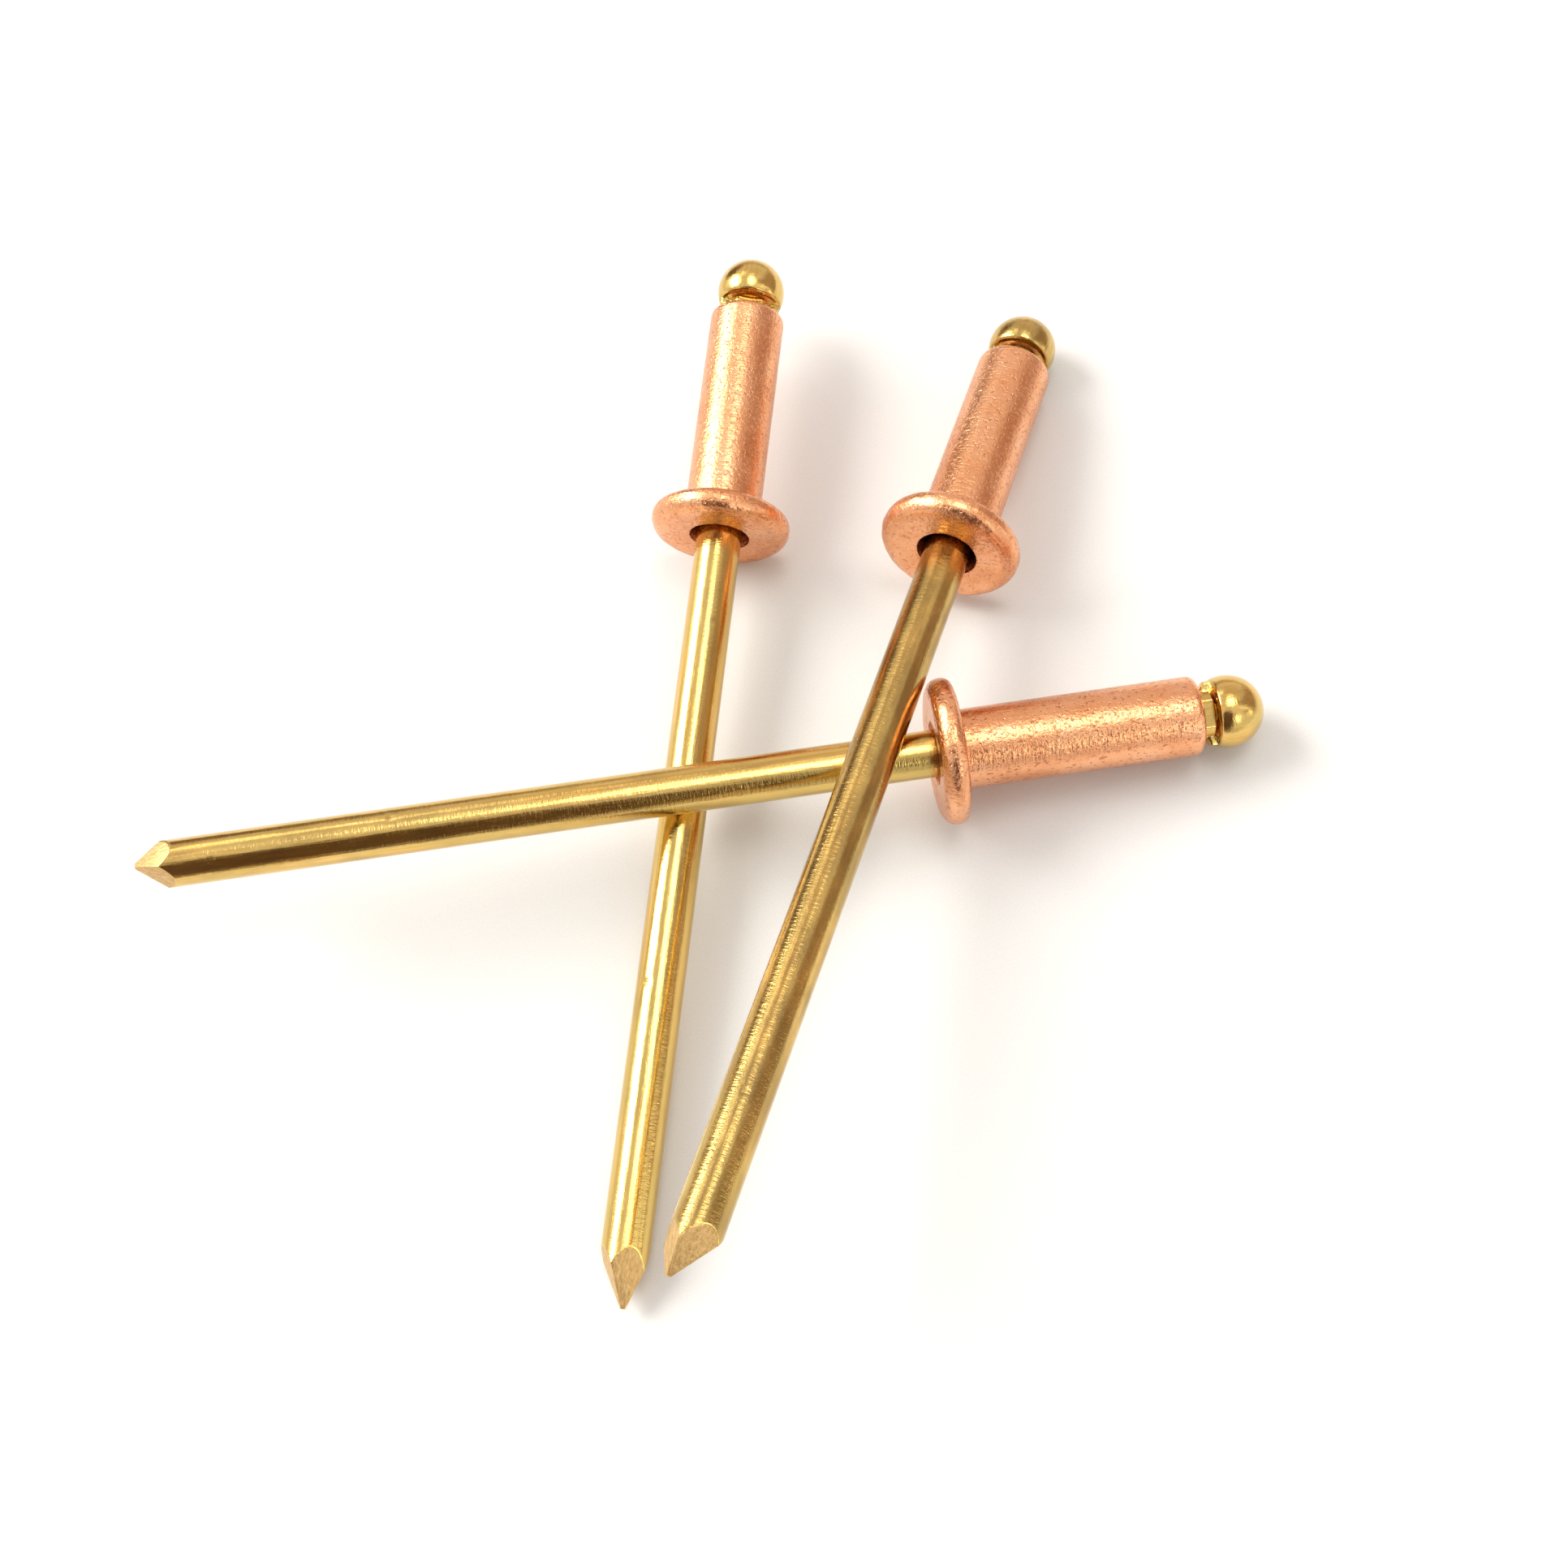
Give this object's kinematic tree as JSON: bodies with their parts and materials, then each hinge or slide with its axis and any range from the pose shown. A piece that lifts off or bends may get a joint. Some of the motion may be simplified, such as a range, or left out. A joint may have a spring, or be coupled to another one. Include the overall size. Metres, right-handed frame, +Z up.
{
  "type": "blind rivets",
  "caption": "Copper blind rivets with flanged tubular shells on loose brass ball-head mandrels with cut points, lying crossed over each other.",
  "frame": {"origin": "middle of the footprint of the three crossed rivets, on the surface they lie on", "axes": "+Z up; +X along the longest side of the footprint, near the crossing rivet towards its ball; +Y across, towards the ball ends of the other two"},
  "size_m": [0.044, 0.042, 0.0097],
  "materials": {
    "copper_shell": "satin copper, fine drawn grain",
    "brass_mandrel": "polished drawn wire"
  },
  "bodies": {
    "left_rivet_shell": {"left_rivet_shell": "copper_shell"},
    "left_rivet_mandrel": {"left_rivet_mandrel": "brass_mandrel"},
    "crossing_rivet_shell": {"crossing_rivet_shell": "copper_shell"},
    "crossing_rivet_mandrel": {"crossing_rivet_mandrel": "brass_mandrel"},
    "top_rivet_shell": {"top_rivet_shell": "copper_shell"},
    "top_rivet_mandrel": {"top_rivet_mandrel": "brass_mandrel"}
  },
  "joints": [
    {"name": "left_mandrel_push_out", "type": "slide", "parent": "left_rivet_shell", "child": "left_rivet_mandrel", "axis": [0.4127, 0.9085, 0.0664], "range_m": [0, 0.03]},
    {"name": "crossing_mandrel_push_out", "type": "slide", "parent": "crossing_rivet_shell", "child": "crossing_rivet_mandrel", "axis": [0.9819, -0.159, -0.1026], "range_m": [0, 0.03]},
    {"name": "top_mandrel_push_out", "type": "slide", "parent": "top_rivet_shell", "child": "top_rivet_mandrel", "axis": [0.5704, 0.8026, -0.1745], "range_m": [0, 0.03]},
    {"name": "crossing_rivet_lift", "type": "slide", "parent": "left_rivet_shell", "child": "crossing_rivet_shell", "axis": [0, 0, 1], "range_m": [0, 0.015]},
    {"name": "top_rivet_lift", "type": "slide", "parent": "crossing_rivet_shell", "child": "top_rivet_shell", "axis": [0, 0, 1], "range_m": [0, 0.015]}
  ]
}
